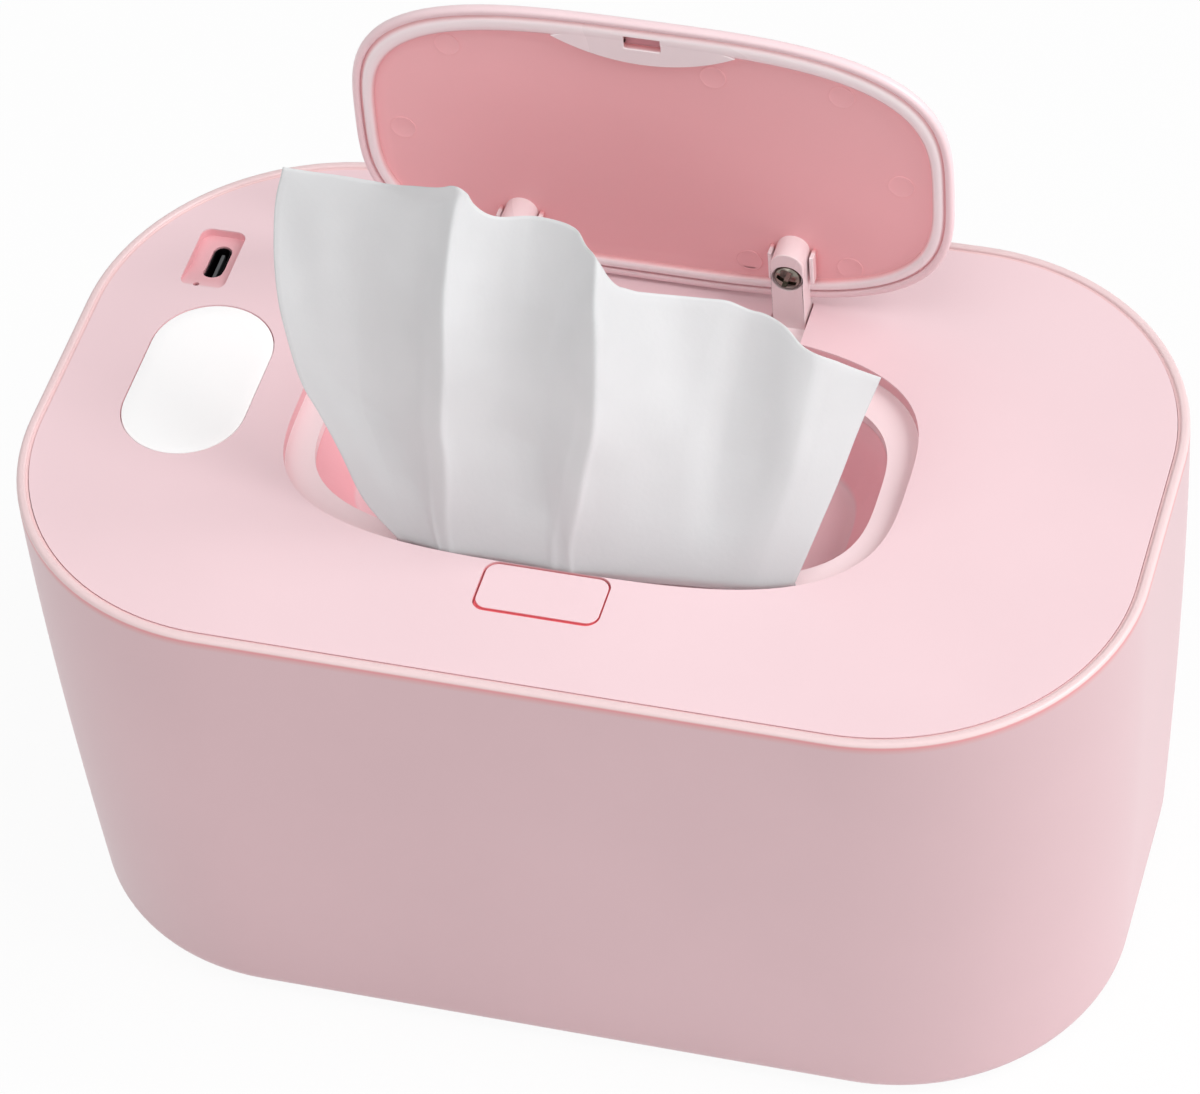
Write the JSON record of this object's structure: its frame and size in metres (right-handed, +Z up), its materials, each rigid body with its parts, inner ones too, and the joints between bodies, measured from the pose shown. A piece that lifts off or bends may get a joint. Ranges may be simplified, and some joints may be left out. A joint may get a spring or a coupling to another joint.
{
  "type": "baby wipe warmer",
  "caption": "Pink tabletop wipe warmer with a flip-up oval lid open over its well, a white stadium window, a push button and a socket",
  "frame": {"origin": "middle of the resting plane of the four feet", "axes": "+X to the right of a user who faces the button, +Y to the back where the lid is hinged, +Z up"},
  "size_m": [0.208, 0.126, 0.1643],
  "materials": {
    "pink_shell": "moulded pale pink, satin",
    "pink_cover": "moulded pale pink, satin",
    "pink_well": "moulded pink, smooth",
    "pink_arm": "moulded pale pink",
    "pink_liner": "moulded pale pink, smooth",
    "pink_rubber": "soft silicone",
    "soft_rubber": "soft grey rubber",
    "white_plastic": "moulded white",
    "white_lens": "opal white, smooth",
    "black_plastic": "black moulding",
    "board_green": "circuit board",
    "light_red": "tinted light guide",
    "battery_foil": "pouch foil",
    "aluminium": "plain sheet",
    "amber_film": "amber film",
    "foam": "closed-cell foam",
    "steel": "plain steel",
    "lead_red": "insulated wire",
    "wipe_cloth": "soft nonwoven cloth"
  },
  "bodies": {
    "base": {"body_shell": "pink_shell", "rubber_feet": "soft_rubber", "foam_sleeve": "foam", "foam_base": "foam", "inner_tub": "white_plastic", "wipe_stack": "wipe_cloth"},
    "cover": {"cover_gasket": "pink_rubber", "cover_plate": "pink_cover", "cover_base": "white_plastic", "cover_screws": "steel", "well_insert": "pink_well", "gate": "pink_rubber", "display_lens": "white_lens", "display_module": "white_plastic", "main_board": "board_green", "board_screws": "steel", "controller_chip": "black_plastic", "power_coil": "black_plastic", "usb_shell": "steel", "usb_tongue": "black_plastic", "charge_light": "light_red", "battery": "battery_foil", "battery_strap": "black_plastic", "heater_plate": "aluminium", "heater_film": "amber_film", "heater_pad": "foam", "heater_screws": "steel", "heat_sensor": "black_plastic", "thermal_fuse": "white_plastic", "heater_leads": "lead_red", "battery_leads": "lead_red", "button_spring": "steel", "latch_spring": "steel", "latch_bracket": "white_plastic", "bracket_screws": "steel", "hinge_pin": "steel", "hinge_spring_left": "steel", "hinge_spring_right": "steel", "wipe_sheet": "wipe_cloth"},
    "lid": {"lid_shell": "pink_cover", "lid_liner": "pink_liner", "hinge_arm_left": "pink_arm", "hinge_arm_right": "pink_arm", "arm_screws": "steel"},
    "button": {"release_button": "pink_cover"},
    "latch": {"latch_slider": "white_plastic"}
  },
  "joints": [
    {"name": "cover_lift", "type": "slide", "parent": "base", "child": "cover", "axis": [0, 0, 1], "range_m": [0, 0.03]},
    {"name": "lid_hinge", "type": "hinge", "parent": "cover", "child": "lid", "pos_m": [0, 0.0368, 0.095], "axis": [1, 0, 0], "range_deg": [0, 91], "stiffness_Nm_per_rad": 0.012, "springref_deg": -34.38, "deforming": ["wipe_sheet", "hinge_spring_left", "hinge_spring_right"]},
    {"name": "button_press", "type": "slide", "parent": "cover", "child": "button", "axis": [0, 0, -1], "range_m": [0, 0.0015], "stiffness_N_per_m": 400, "springref_m": -0.001, "deforming": ["button_spring"]},
    {"name": "latch_slide", "type": "slide", "parent": "cover", "child": "latch", "axis": [0, -1, 0], "range_m": [0, 0.0009], "stiffness_N_per_m": 300, "springref_m": -0.001, "deforming": ["latch_spring"]}
  ],
  "couplings": [
    {"joint": "latch_slide", "follows": "button_press", "ratio": 0.6}
  ]
}
